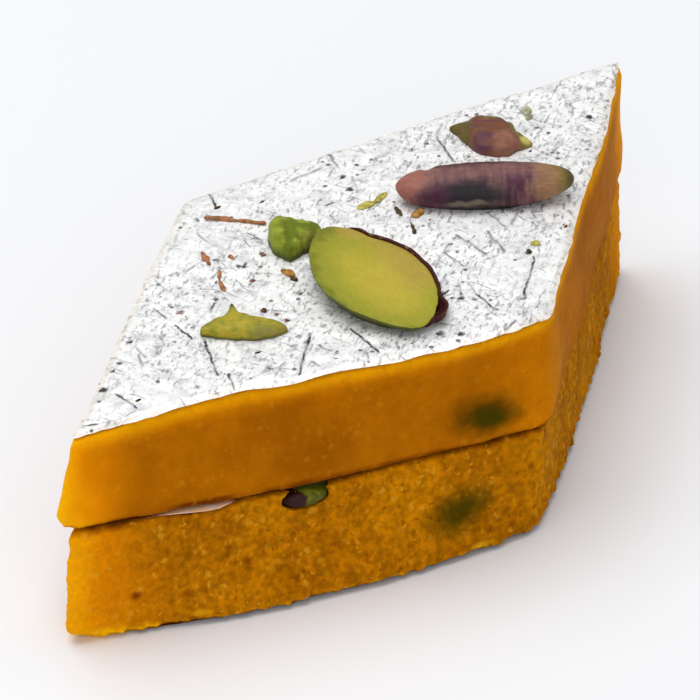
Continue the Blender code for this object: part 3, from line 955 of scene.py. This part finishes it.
# %% The barfi materials
def barfi_material(name, coarse, tones, spots):
    """coarse: how grainy, 0 to 1. spots: place, size, tilt and colour of each soft spot."""
    nodes = Nodes(name, Roughness=0.6, Subsurface_Weight=0.3, Subsurface_Scale=1.4 * MM,
                  Subsurface_Radius=(1, 0.5, 0.1), Specular_IOR_Level=0.01)
    x, y, z = nodes.x, nodes.y, nodes.z
    nodes.colour = nodes.blend(nodes.noise(7).rise(0.3, 0.7), *tones)

    # painted light: paler and yellower where light shines through the thin tips
    far = abs(x - 0.4) + nodes.noise(4) * 3
    nodes.paint(far.rise(31.5 - 2 * coarse, 36.8, 0, 1 - 0.2 * coarse), AMBER)
    pale = far.rise(35.4, 38, 0, 1 - 0.45 * coarse)
    share = x * (-1 / 71.8) + 0.5
    bend = share * share
    if coarse > 0.5:
        # painted bounce light along the foot, mixed with yellow crumbs
        lifted = z + x.fall(-34.5, -28, -0.9)
        pale = pale.most((lifted + nodes.noise(1) * 1.4).fall(0.5, 1.6, 0.9))
    else:
        # painted highlight along the top edge under the leaf, and paler towards the front corner
        below = bend * -1.1 + 20.35 - z
        corner = y.fall(-17, -13, 0.4)
        nodes.paint(below.fall(0.1, 2.2, 0.6).most(corner), AMBER)
        pale = pale.most(below.fall(0.1, 1.4, 0.55))
    nodes.paint(pale, PALE)

    # painted shade: a dark line along the seam, darker in the gap above the shown leaf
    seam = bend * 0.4 + 10.47 + (y + 1.75).maths("MINIMUM") * 0.07
    gap = abs(z - seam)
    shade = gap.fall(0.15, 0.7, 0.75) * nodes.noise(2.2).rise(0.35, 0.6, 0.35, 1)
    parted = abs(x + 25.6).fall(1.2, 3.4, 0.9) * gap.fall(0.4, 0.75)
    nodes.paint(shade.most(parted), SEAM_SHADE)

    # blotches, speckles and grains, fainter towards the tips
    blotch = nodes.noise(1.5, 3).rise(0.3, 0.7, 0.96 - 0.1 * coarse, 1.03 + 0.1 * coarse)
    speckle = nodes.noise(0.55, 1).rise(0.32, 0.68, 1 - 0.2 * coarse, 1 + 0.17 * coarse)
    # painted shade: darker towards +X, mostly on the lower piece
    shade_to_inner_end = x.rise(-14, 0, 1, 1 - 0.07 * coarse)
    calm = far.rise(29, 34.5, 1, 0.3)
    nodes.paint(calm, shade_to_inner_end * (blotch * speckle), "MULTIPLY")
    bent = nodes.bent(0.4, 2, (0.7, 0.7, 0.7))
    light = grains(nodes, bent, 0.55, 0.5, 0).most(grains(nodes, bent, 0.95, 0.35, 20))
    light = light * nodes.noise(3).rise(0.36, 0.58, 0.3, 1) * (0.1 + 0.65 * coarse)
    nodes.paint(light, GRAIN)
    dark = grains(nodes, bent, 0.6, 0.35, 50).most(grains(nodes, bent, 1.1, 0.3, 70))
    dark = dark * (calm * (0.08 + 0.5 * coarse))
    nodes.paint(dark, PIT)

    # painted shadow: a dark line along the bottom of the foot, under the crumbs
    if coarse > 0.5:
        foot_shadow = (z + nodes.noise(1.6) * 0.6).fall(0.65, 0.95)
        nodes.paint(foot_shadow * x.rise(-34, -29.5), FOOT_SHADE)
    for place, size, tilt, ink in spots:
        nodes.paint(soft_spot(nodes, place, size, tilt) * 0.92, ink)
    nodes.link(nodes.colour, "Base Color")
    crumb = nodes.bump(nodes.noise(0.45, 3), 0.07, 0.2 + 0.7 * coarse)
    raised = nodes.bump(light, 0.06, 0.7 * coarse, crumb)
    nodes.link(nodes.bump(dark, -0.05, 0.7 * coarse, raised), "Normal")
    nodes.link(nodes.noise(1.1).rise(0.3, 0.7, 0.55, 0.7), "Roughness")
    return nodes.material


UPPER_SPOTS = [((-3.3, -14.7, 12.6), (3.4, 2.3, 2.3), 14, linear(64, 50, 0)),
               ((-2.9, -14.9, 12.1), (2.8, 1.8, 1), 14, linear(66, 60, 2))]
LOWER_SPOTS = [((-6, -13.8, 4.1), (3.4, 2.4, 2.1), -16, linear(66, 60, 3))]
for pit in ((-30.9, -0.2, 3.8), (-27.2, -2.1, 3.2), (-22.4, -4.6, 4.9)):
    LOWER_SPOTS.append((pit, (0.55, 2.5, 0.5), 0, linear(120, 42, 2)))
# two bright crumbs at the foot, with painted glints of light on them
for bright in ((-4.4, -14.3, 0.9), (-26.1, -2.7, 1.2)):
    LOWER_SPOTS.append((bright, (1.3, 2.5, 0.45), 0, linear(244, 186, 24)))
upper.data.materials.append(
    barfi_material("mango_barfi_smooth", 0.15, UPPER_TONES, UPPER_SPOTS))
lower.data.materials.append(
    barfi_material("mango_barfi_grainy", 1, LOWER_TONES, LOWER_SPOTS))

# %% [markdown]
# ### Silver leaf
# The leaf is bright and almost white under soft light. Its crumpled facets get painted
# shade, some greyer than others. It is drawn over with grey hairlines, painted as the shade
# in fine creases, and with grit, and dotted with dark specks. The hairlines are the borders
# of stretched Voronoi cells. Four such layers lie in different directions, each shown only
# in patches. The grit is two fine noises, one of them brushed out along one direction. The
# attributes stored on the sheet add its creases and strokes of painted shade, its pricks
# and stains.

# %% The silver leaf material
SILVER = linear(252, 252, 251)
SEAM_SILVER = linear(250, 200, 158)
SHADED_SILVER = linear(218, 219, 222)
CREASE = linear(92, 92, 100)
SPECK = linear(58, 52, 56)
STAIN = linear(104, 44, 26)
SHOWS_THROUGH = linear(250, 214, 160)
SMEAR_IN_SHADE = linear(104, 44, 8)
HAIRLINES = (                  # degrees, cell size, stretch, line width, seed
    (28, 2.2, 2.6, 0.055, 3), (-38, 2.4, 2.8, 0.05, 17),
    (78, 2, 3, 0.06, 31), (2, 3, 1.6, 0.04, 46))


def hairlines(nodes, where, angle, size, stretch, width, seed):
    """Straight broken lines: the borders of cells that are stretched along one direction."""
    turned = nodes.mapped((seed * MM, seed * MM, 0), (0, 0, math.radians(angle)),
                          (1 / size, 1 / (size * stretch), 0), where)
    border = nodes.add("TexVoronoi", {"Vector": turned, "Scale": 1}, "Distance",
                       feature="DISTANCE_TO_EDGE", voronoi_dimensions="2D")
    patch = nodes.noise(2.6, 2, nodes.mapped((seed, 0, seed), where=where)).rise(0.56, 0.72)
    return border.fall(width * 0.25, width * 0.9) * patch


def silver_material(name, bare, stained, worn):
    """bare: the colour of the metal. stained: the share of fudge that shows at the rim.
    worn: how strong the fine grit is.

    Where the attribute smeared_and_shaded is 1, fudge covers the metal, painted dark brown as the
    shade in the seam.
    """
    nodes = Nodes(name, Metallic=0.2, Roughness=0.38)
    # painted shade: each crumpled facet a little greyer or brighter
    bent = nodes.bent(4, 1, (1.6, 1.6, 0))
    wide, fine = nodes.cells(1.5, bent)[1], nodes.cells(0.6, bent)[1]
    facets = wide * 0.6 + fine * 0.4
    nodes.colour = nodes.blend(facets.rise(0.45, 0.95, 0, 0.75), bare, SHADED_SILVER)

    brushed = nodes.mapped(turn=(0, 0, math.radians(24)), scale=(2.4, 1, 1), kind="TEXTURE")
    round_grit = nodes.noise(0.38).rise(0.54, 0.7, 0, 0.45)
    long_grit = nodes.noise(0.36, 2, brushed).rise(0.54, 0.68, 0, 0.65)
    patchy = nodes.noise(6, 1).rise(0.36, 0.56, 0.5 * worn, worn)
    fading = nodes.x.rise(-31, -20, 0.5, 1)
    nodes.paint(round_grit.most(long_grit) * (patchy * fading), CREASE)
    nodes.paint(nodes.stored("rim") * stained, SHOWS_THROUGH)
    # painted shade: the hairlines stand for the shade in fine creases
    lines = reduce(Value.most, [hairlines(nodes, bent, *kind) for kind in HAIRLINES])
    nodes.paint(lines * 0.5, CREASE)
    dots = nodes.cells(1.3)[0].fall(0.11, 0.2, 0.85)
    nodes.paint(dots * nodes.noise(2.4, 1).rise(0.5, 0.58), SPECK)

    ragged = (nodes.noise(0.22) - 0.5) * 0.5
    for title, ink in (("marks", SPECK), ("stains", STAIN)):
        nodes.paint((nodes.stored(title) + ragged).rise(0.15, 0.6), ink)
    # painted shade along the creases and strokes: a soft grey band and a dark line in its middle
    wander = (nodes.noise(1.2) - 0.5) * 0.5
    aside = abs(nodes.stored("line_aside") + wander)
    strength = nodes.stored("line_strength")
    drawn = (aside + ragged * 0.3).fall(0.05, 0.17)
    faint = nodes.noise(0.8).rise(0.38, 0.58, 0.55, 1)
    nodes.paint(aside.fall(0.05, 0.5, 0.5) * strength.rise(0.1, 0.5), SHADED_SILVER)
    nodes.paint(drawn * (strength.rise(0.05, 0.6) * faint), SPECK)
    # fudge over the hidden rim, painted dark brown as the shade in the seam
    nodes.paint(nodes.stored("smeared_and_shaded").rise(0.4, 0.9), SMEAR_IN_SHADE)
    nodes.link(nodes.colour, "Base Color")
    crinkle = nodes.bump(nodes.noise(0.5, 4), 0.06, 0.4)
    nodes.link(nodes.bump(lines, 0.10, 0.6, crinkle), "Normal")
    return nodes.material


leaf.data.materials.append(silver_material("beaten_silver_leaf", SILVER, 0.25, 1))
seam_leaf.data.materials.append(
    silver_material("silver_leaf_in_the_seam", SEAM_SILVER, 0, 0.2))

# %% [markdown]
# ### Pistachios
# Cut flesh is yellow in the middle and greener towards the skin, with fine fibres. The
# skin is dry and purple-brown, paler where it has rubbed. Except on the papery skin, each
# material reads its nut's own coordinates, so that middle, rim and ends fall in place.

# %% Helpers and colours for the pistachios
FLESH_YELLOW = linear(184, 168, 54)
FLESH_GREEN = linear(149, 149, 40)
FLESH_DARK = linear(74, 80, 18)
FLESH_TAN = linear(176, 148, 66)
SKIN_PURPLE = linear(98, 58, 70)
SKIN_BLACK = linear(28, 27, 33)
SKIN_PINK = linear(157, 99, 85)
SKIN_MAUVE = linear(131, 93, 86)
SKIN_TAN = linear(152, 124, 84)
SKIN_MAROON = linear(64, 22, 17)
SKIN_WINE = linear(70, 30, 52)
SKIN_BROWN = linear(118, 73, 47)
BIT_GREEN = linear(100, 114, 13)
BIT_LIGHT = linear(146, 158, 46)
BIT_BROWN = linear(124, 112, 46)


def nut_nodes(name, roughness=0.5, own=True):
    """A material with the soft shine that every nut and crumb has."""
    return Nodes(name, own, Roughness=roughness, Specular_IOR_Level=0.2, Subsurface_Weight=0.1,
                 Subsurface_Scale=0.6 * MM, Subsurface_Radius=(1, 0.8, 0.2))


def finish_nut(nodes, grain, depth, streaky=0.14):
    """Lay fine fibres along the nut over its colour, and a fine relief over its surface."""
    along = nodes.mapped(scale=(0.25, 1, 1))
    fibres = nodes.noise(0.22, 3, along).rise(0.3, 0.7, 1 - streaky, 1 + streaky / 2)
    nodes.paint(1, fibres, "MULTIPLY")
    nodes.link(nodes.colour, "Base Color")
    nodes.link(nodes.bump(nodes.noise(grain, 4), depth, 0.6), "Normal")
    return nodes.material


# %% The material of the split kernel and of its skin
def half_material():
    nodes = nut_nodes("pistachio_cut_face")
    x, y = nodes.x, nodes.y
    # so large a scale along Z leaves the height out of the length
    middle = nodes.mapped((0.8, 0.3, 0), scale=(7.8, 4.6, 1000), kind="TEXTURE")
    reach = nodes.length(middle) + nodes.noise(2.2, 3) * 0.5
    nodes.colour = nodes.blend(reach.rise(0.45, 1.3), FLESH_YELLOW, FLESH_GREEN)
    nodes.paint(y.fall(-4.4, -1, 0.7), FLESH_GREEN)
    nodes.paint(y.rise(0.6, 3.6) * x.fall(1.5, 4.5, 0.75), FLESH_TAN)
    nodes.paint(reach.rise(1.12, 1.32, 0, 0.5), FLESH_DARK)
    notch = nodes.length(nodes.where, (-6.6, 1.5, 0))
    nodes.paint(notch.fall(0.6, 1.7, 0.75), FLESH_TAN)
    # darker green towards the skin, with painted shade on the undercut wall
    wall = (nodes.stored("face") + nodes.noise(0.5) * 0.3).fall(0.3, 1, 0.95)
    nodes.paint(wall, FLESH_DARK)
    nodes.paint(wall * y.rise(0, 1), SKIN_MAROON)
    return finish_nut(nodes, 0.5, 0.08, 0.07)


def skin_material():
    nodes = nut_nodes("pistachio_papery_skin", 0.55, own=False)
    nodes.colour = nodes.blend(nodes.noise(1.1, 3).rise(0.56, 0.72, 0, 0.7),
                               SKIN_MAROON, SKIN_TAN)
    return finish_nut(nodes, 0.3, 0.06)


half.data.materials.append(half_material())
skin.data.materials.append(skin_material())


# %% The material of the dark kernel
def dark_material():
    """x runs along the kernel and up runs across its shown side, both drifting a little."""
    nodes = nut_nodes("pistachio_dark_skin", 0.48)
    drift = (nodes.noise(1.3, 4) - 0.5) * 2.6
    x = nodes.x + drift
    up = nodes.y * 0.55 + nodes.z * 0.84 + drift * 0.3
    streaks = nodes.noise(0.5, 3, nodes.mapped(scale=(1, 0.22, 0.22)))
    nodes.colour = nodes.blend(streaks.rise(0.4, 0.62, 0, 0.8), SKIN_PURPLE, SKIN_MAUVE)
    nodes.paint(up.rise(0.5, 1.5, 0, 0.5), SKIN_MAUVE)
    red = abs(x - 2.2).fall(0.6, 2.2, 0.85) * up.fall(0.2, 1.2)
    nodes.paint(red * streaks.rise(0.44, 0.56, 1, 0.35), SKIN_WINE)
    off_core = nodes.length(nodes.add("CombineXYZ", {
        "X": (x + 1.9) * (1 / 4.2), "Y": (up + 0.5) * (1 / 1.35)}))
    core = nodes.blend(x.rise(-4.6, -2.2), SKIN_WINE, SKIN_BLACK)
    nodes.paint(off_core.fall(0.5, 1.3, 0.97), core)
    nodes.paint(x.rise(3.3, 5, 0, 0.85), linear(154, 116, 78))
    nodes.paint(x.rise(5.5, 6.7), linear(118, 106, 52))
    nodes.paint(nodes.x.rise(6.3, 7.1, 0, 0.65), linear(58, 50, 20))
    nodes.paint((x - up * 0.6).fall(-6.4, -4.9, 0.95), SKIN_PINK)
    corner = x.fall(-5.4, -3.6) * up.fall(-1.5, -0.9, 0.95)
    nodes.paint(corner, SKIN_MAROON)
    pale = abs(x + 1.6).fall(0.8, 2.4, 0.7) * abs(up + 1.2).fall(0.05, 0.3)
    nodes.paint(pale, linear(128, 110, 96))
    # painted shade: near black along the underside, where it meets the leaf
    nodes.paint(up.fall(-1.75, -1.35, 0.97), linear(30, 20, 16))
    nodes.paint(up.rise(1.75, 2.1, 0, 0.8), SKIN_MAROON)
    return finish_nut(nodes, 0.35, 0.08)


dark.data.materials.append(dark_material())


# %% The materials of the small bits
def sliver_material():
    nodes = nut_nodes("pistachio_shaving")
    nodes.colour = nodes.blend(nodes.noise(1.2).rise(0.4, 0.65),
                               linear(174, 156, 44), linear(134, 136, 36))
    streaks = nodes.noise(0.6, 2, nodes.mapped(scale=(0.3, 1.6, 1))).rise(0.46, 0.6, 0, 0.5)
    nodes.paint(nodes.x.rise(0.2, 1.4) * streaks, SKIN_TAN)
    # painted shade on the underside
    nodes.paint(nodes.z.fall(-0.2, 0.25, 0.9), FLESH_DARK)
    nodes.paint(nodes.y.rise(1.5, 2.1) * nodes.x.fall(-0.8, 0.2), FLESH_DARK)
    return finish_nut(nodes, 0.4, 0.07)


def green_material():
    nodes = nut_nodes("pistachio_green_flesh")
    x = nodes.x
    nodes.colour = nodes.blend(nodes.noise(1.2, 3).rise(0.42, 0.64), BIT_GREEN, BIT_LIGHT)
    nodes.paint(x.fall(-1.6, -0.5, 0.7), BIT_LIGHT)
    nodes.paint(x.rise(0.2, 1.6) * nodes.y.fall(-0.6, 0.6, 0.7), BIT_BROWN)
    nodes.paint(abs(x + 0.3).fall(0, 0.6, 0.7), BIT_GREEN)
    # painted shade on the underside
    nodes.paint(nodes.z.fall(0, 0.6, 0.95), FLESH_DARK)
    return finish_nut(nodes, 0.4, 0.08)


def brown_material():
    nodes = nut_nodes("pistachio_brown_skin", 0.52)
    bands = nodes.noise(0.8, 3, nodes.mapped(turn=(0, 0, 0.25), scale=(0.35, 1.3, 1)))
    nodes.colour = nodes.blend(bands.rise(0.42, 0.64), SKIN_BROWN, SKIN_PURPLE)
    drift = (nodes.noise(1, 3) - 0.5) * 1.6
    x, y = nodes.x + drift, nodes.y + drift
    nodes.paint(x.rise(0, 1) * y.fall(-1.2, 0, 0.7), linear(152, 104, 86))
    nodes.paint((x + y * 0.5).rise(1.8, 2.3, 0, 0.85), BIT_BROWN)
    nodes.paint(y.rise(1.4, 1.9) * x.rise(-0.8, 0.2, 0, 0.85), BIT_BROWN)
    nodes.paint(x.fall(-1.9, -1.4, 0.95), linear(96, 84, 36))
    spot = nodes.length(nodes.where, (2.95, -0.75, 0.5))
    nodes.paint(spot.fall(0.35, 0.7, 0.9), linear(196, 186, 100))
    # painted shadow: black on the underside
    nodes.paint(nodes.z.fall(-0.3, 0.15, 0.9), SKIN_BLACK)
    return finish_nut(nodes, 0.35, 0.08)


def seam_material():
    nodes = nut_nodes("pistachio_seam_flesh")
    nodes.colour = nodes.blend(nodes.noise(0.8, 3).rise(0.42, 0.62),
                               linear(84, 86, 10), linear(112, 116, 22))
    along = nodes.x + nodes.noise(0.9, 3) * 1.2
    nodes.paint(along.fall(-17.7, -17.2), linear(48, 13, 6))
    return finish_nut(nodes, 0.4, 0.08)


for piece, material in ((sliver, sliver_material()), (green_bit, green_material()),
                        (brown_bit, brown_material()), (seam_nut, seam_material())):
    piece.data.materials.append(material)
print("materials:", ", ".join(material.name for material in bpy.data.materials))

# %% [markdown]
# ## Crumbs
# A few crumbs too small to be parts lie on the leaf: a broken yellow streak and a yellow
# dot, two orange bits, thin reddish-brown stems, dark specks and a cream flake. Each kind
# is one piece made of small rough lumps that sit on the leaf at their own place.

# %% Make the crumbs
def crumbs(name, lumps, colour, seed):
    """Rough lumps (x, y, length, width, height in mm, turn in degrees) as one piece."""
    made = []
    for x, y, length, width, height, turn in lumps:
        bpy.ops.object.select_all(action="DESELECT")
        near = np.hypot(leaf_rows[:, 0] - x, leaf_rows[:, 1] - y).argmin()
        z = leaf_rows[near, 2] + 0.3 * height
        bpy.ops.mesh.primitive_ico_sphere_add(
            subdivisions=3, radius=0.5 * MM, scale=(length, width, height),
            location=(x * MM, y * MM, z * MM), rotation=(0, 0, math.radians(turn)))
        made.append(bpy.context.object)
    for lump in made:
        lump.select_set(True)
    bpy.ops.object.join()
    piece = bpy.context.object
    piece.name = name
    bpy.ops.object.transform_apply(location=True, rotation=True, scale=True)
    rows = places(piece)
    put_places(piece, rows + directions(piece) * (bumpy(rows, 0.45, seed) * 0.18)[:, None])
    bpy.ops.object.shade_smooth()
    nodes = nut_nodes(name + "_crumb", own=False)
    nodes.colour = nodes.blend(nodes.noise(0.5).rise(0.4, 0.65), colour,
                               tuple(0.55 * c for c in colour[:3]) + (1,))
    piece.data.materials.append(finish_nut(nodes, 0.25, 0.05))
    return piece


CRUMBS = (                     # name, slot, colour, seed, lumps
    ("crumbs_yellow", "pistachio_flesh", linear(206, 194, 96), 1, (
        (5.3, 4.6, 1.9, 0.8, 0.3, -12), (6.9, 4.4, 1.8, 0.65, 0.3, 4),
        (9.3, -10, 0.9, 0.65, 0.5, -50))),
    ("crumbs_orange", "barfi_upper", linear(184, 134, 62), 2, (
        (6.8, 0.3, 1.5, 0.8, 0.5, 0), (-6.1, 3.5, 1.5, 0.65, 0.4, -85))),
    ("crumbs_stem", "pistachio_brown", linear(176, 118, 76), 5, (
        (-3.6, 12.7, 3, 0.5, 0.35, -61), (-2.5, 10.7, 3.2, 0.36, 0.3, -62),
        (-8.8, 10.1, 1.9, 0.45, 0.3, 57), (-9.9, 7.7, 1.5, 0.38, 0.3, 40),
        (-10.9, 6.6, 2, 0.46, 0.3, 52), (-7.3, 8.6, 0.8, 0.32, 0.25, 68))),
    ("crumbs_dark", "pistachio_skin", linear(82, 66, 40), 3, (
        (6.2, 1.9, 1.5, 0.5, 0.3, 60), (5, -0.6, 1.7, 0.32, 0.25, 50),
        (-6.5, 2.6, 0.6, 0.45, 0.35, -60), (-11.6, 1.6, 0.6, 0.4, 0.3, 0),
        (8.2, -10.2, 0.5, 0.4, 0.3, 0))),
    ("crumbs_cream", "pistachio_flesh", linear(186, 184, 150), 4, (
        (24.9, 3.2, 1.4, 0.8, 0.35, 40), (24.2, 2.4, 0.9, 0.7, 0.3, 20))),
)
crumb_pieces = [(crumbs(name, lumps, colour, seed), "", slot)
                for name, slot, colour, seed, lumps in CRUMBS]
print("crumb faces:", sum(len(piece.data.polygons) for piece, *rest in crumb_pieces))

# %% [markdown]
# ## Hand over
# Each piece takes the place of its solid and rides on the one body of the part. The skin
# and the crumbs have no solid of their own.

# %% Hand every piece to the frame
DRESSED = (
    (upper, "upper_barfi", "barfi_upper"),
    (lower, "lower_barfi", "barfi_lower"),
    (leaf, "upper_silver_leaf", "silver_leaf"),
    (seam_leaf, "lower_silver_leaf", "silver_leaf"),
    (half, "pistachio_half", "pistachio_flesh"),
    (skin, "", "pistachio_skin"),
    (dark, "pistachio_dark", "pistachio_skin"),
    (sliver, "pistachio_sliver", "pistachio_flesh"),
    (green_bit, "pistachio_green_chip", "pistachio_green"),
    (brown_bit, "pistachio_brown_chip", "pistachio_brown"),
    (seam_nut, "pistachio_in_seam", "pistachio_green"),
)
for piece, node, slot in (*DRESSED, *crumb_pieces):
    if node:
        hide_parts(node)
    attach(piece, "root")
print("pieces:", len(DRESSED) + len(crumb_pieces))

# %% [markdown]
# ## Floor, light and camera
# The sweet stands on a plain pale floor under soft studio light: a large lamp behind and
# above, which leaves the front faces in gentle shade, and a weak one in front. The camera
# looks down from the front left through a long lens.

# %% Floor
bpy.ops.object.select_all(action="DESELECT")
bpy.ops.mesh.primitive_plane_add(size=3, location=(0, 0, 0))
floor = bpy.context.object
floor.name = "floor"
pale_floor = bpy.data.materials.new("pale_floor")
pale_floor.use_nodes = True
surface = pale_floor.node_tree.nodes["Principled BSDF"].inputs
surface["Roughness"].default_value = 0.6
surface["Base Color"].default_value = linear(238, 240, 243)
floor.data.materials.append(pale_floor)
print("floor in m:", tuple(floor.dimensions))

# %% Light
LIT_POINT = Vector((0, 0, 0.010))
WORLD_STRENGTH = 0.39


def lamp(name, place, size, watts):
    """A square lamp that shines at the middle of the sweet. Places are in metres."""
    bpy.ops.object.light_add(type="AREA", location=place)
    light = bpy.context.object
    light.name = name
    light.data.size = size
    light.data.energy = watts
    light.rotation_euler = (LIT_POINT - Vector(place)).to_track_quat("-Z", "Y").to_euler()


lamp("key above", (-0.04, 0.18, 0.88), 0.9, 6.7)
lamp("fill front", (-0.6, -0.5, 0.5), 0.6, 1.9)
world = bpy.data.worlds.new("studio")
world.use_nodes = True
background = world.node_tree.nodes["Background"].inputs
background["Color"].default_value = (1, 1, 1, 1)
background["Strength"].default_value = WORLD_STRENGTH
bpy.context.scene.world = world
bpy.context.scene.view_settings.view_transform = "Standard"

# %% Camera
CAMERA_AT = Vector((-547.1, -449.8, 478.4)) * MM
AIM_AT = Vector((-0.7, 1.6, 10.7)) * MM
ROLL = math.radians(-0.9)

bpy.ops.object.camera_add(location=CAMERA_AT)
camera = bpy.context.object
look = (AIM_AT - CAMERA_AT).to_track_quat("-Z", "Y") @ Quaternion((0, 0, 1), ROLL)
camera.rotation_euler = look.to_euler()
camera.data.lens = 529.4
camera.data.sensor_width = 36
camera.data.clip_start = 0.01
bpy.context.scene.camera = camera
print("from camera to sweet in mm:", round((AIM_AT - CAMERA_AT).length / MM))
